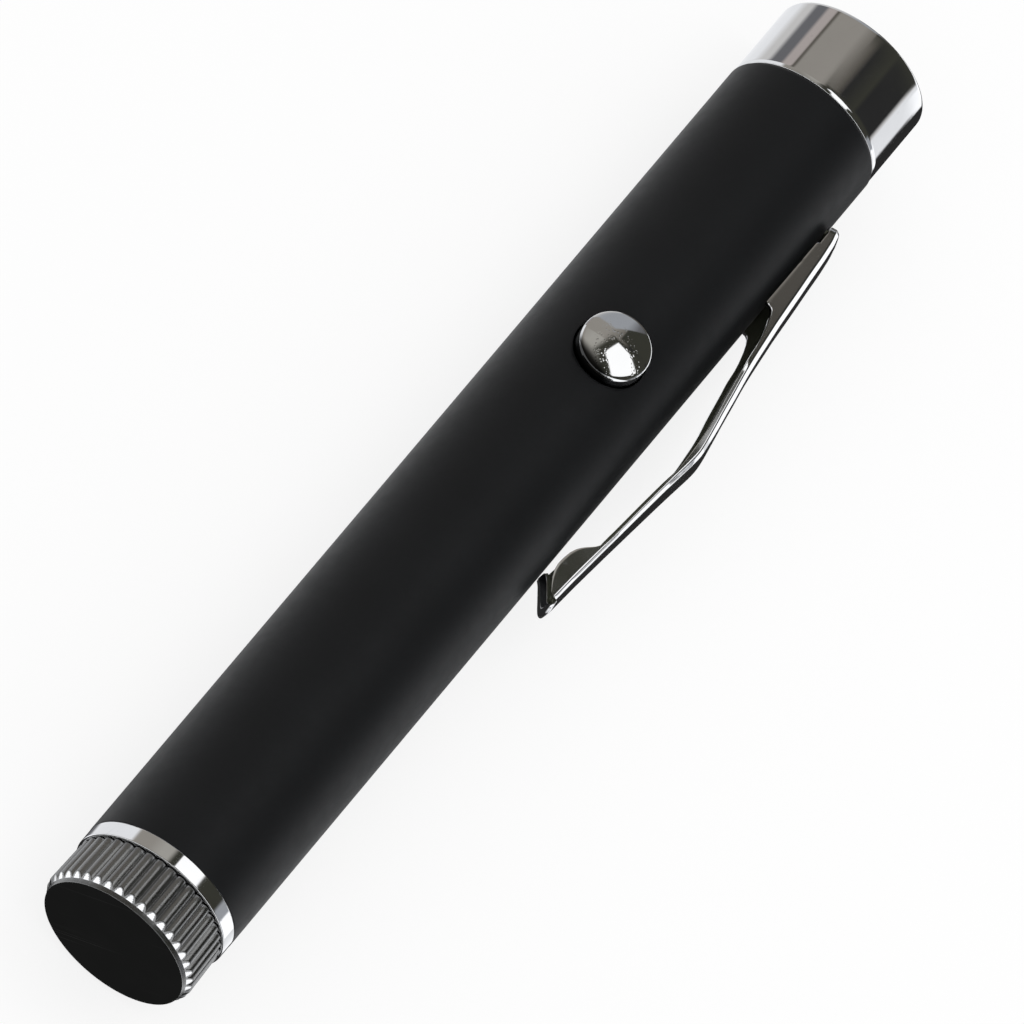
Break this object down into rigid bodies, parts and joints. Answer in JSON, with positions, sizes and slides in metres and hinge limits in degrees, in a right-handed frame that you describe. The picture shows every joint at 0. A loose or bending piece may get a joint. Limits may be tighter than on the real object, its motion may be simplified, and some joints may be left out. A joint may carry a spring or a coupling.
{
  "type": "laser pointer",
  "caption": "Slim round laser pointer with a push button, a sprung pocket clip and a ribbed tail cap that unscrews over a battery, a driver board and a laser module.",
  "frame": {"origin": "centre of the tail cap's flat end face", "axes": "+Y along the pen from the tail face to the beam opening, +Z out through the push button, +X out through the pocket clip"},
  "size_m": [0.0181, 0.102, 0.0154],
  "materials": {
    "chrome": "polished bright plating",
    "brass": "plain turned brass",
    "spring_steel": "bright drawn wire",
    "black_paint": "matte black paint over metal",
    "white_fibre": "pale insulating fibre",
    "cell_body": "dull nickel plating",
    "cell_wrap": "plain shrink film",
    "cell_steel": "dull nickel plating",
    "board_green": "green solder mask",
    "black_plastic": "fine moulded black",
    "aluminium": "turned aluminium",
    "ferrite": "dull ferrite grey",
    "ceramic": "fired ceramic tan",
    "crystal": "polished crystal",
    "glass": "polished clear glass",
    "filter_glass": "polished blue-green filter glass"
  },
  "bodies": {
    "barrel": {"barrel_tube": "black_paint", "tail_collar": "chrome", "nose_collar": "chrome", "battery_liner": "white_fibre", "contact_disc": "white_fibre", "positive_contact": "brass", "board_tray": "white_fibre", "driver_board": "board_green", "switch_body": "black_plastic", "switch_cover": "cell_steel", "trimmer": "aluminium", "driver_chip": "black_plastic", "inductor": "ferrite", "input_capacitor": "ceramic", "output_capacitor": "ceramic", "module_housing": "brass", "diode_holder": "brass", "pump_diode": "cell_steel", "crystal_holder": "brass", "laser_crystal": "crystal", "expander_lens": "glass", "lens_barrel": "aluminium", "infrared_filter": "filter_glass", "collimating_lens": "glass", "lens_retainer": "brass", "output_window": "glass"},
    "button": {"button_cap": "chrome", "switch_stem": "black_plastic"},
    "clip": {"pocket_clip": "chrome"},
    "tail_contact": {"tail_spring": "spring_steel", "cap_contact": "brass"},
    "cap": {"tail_cap": "chrome"},
    "battery": {"battery_can": "cell_body", "battery_jacket": "cell_wrap", "battery_nub": "cell_steel"}
  },
  "joints": [
    {"name": "button_press", "type": "slide", "parent": "barrel", "child": "button", "axis": [0, 0, -1], "range_m": [0, 0.00045], "stiffness_N_per_m": 60, "springref_m": -0.0005},
    {"name": "clip_flex", "type": "hinge", "parent": "barrel", "child": "clip", "pos_m": [0.00708, 0.0884, 0], "axis": [0, 0, 1], "range_deg": [0, 3], "stiffness_Nm_per_rad": 0.1, "springref_deg": -2.86},
    {"name": "cap_travel", "type": "slide", "parent": "barrel", "child": "tail_contact", "axis": [0, -1, 0], "range_m": [0, 0.00451]},
    {"name": "cap_turn", "type": "hinge", "parent": "tail_contact", "child": "cap", "pos_m": [0, 0, 0], "axis": [0, -1, 0], "range_deg": [0, 1620]},
    {"name": "battery_slide", "type": "slide", "parent": "barrel", "child": "battery", "axis": [0, -1, 0], "range_m": [0, 0.00451]}
  ],
  "couplings": [
    {"joint": "cap_travel", "follows": "cap_turn", "m_per_rad": 0.00015915},
    {"joint": "battery_slide", "follows": "cap_turn", "m_per_rad": 0.00015915}
  ]
}
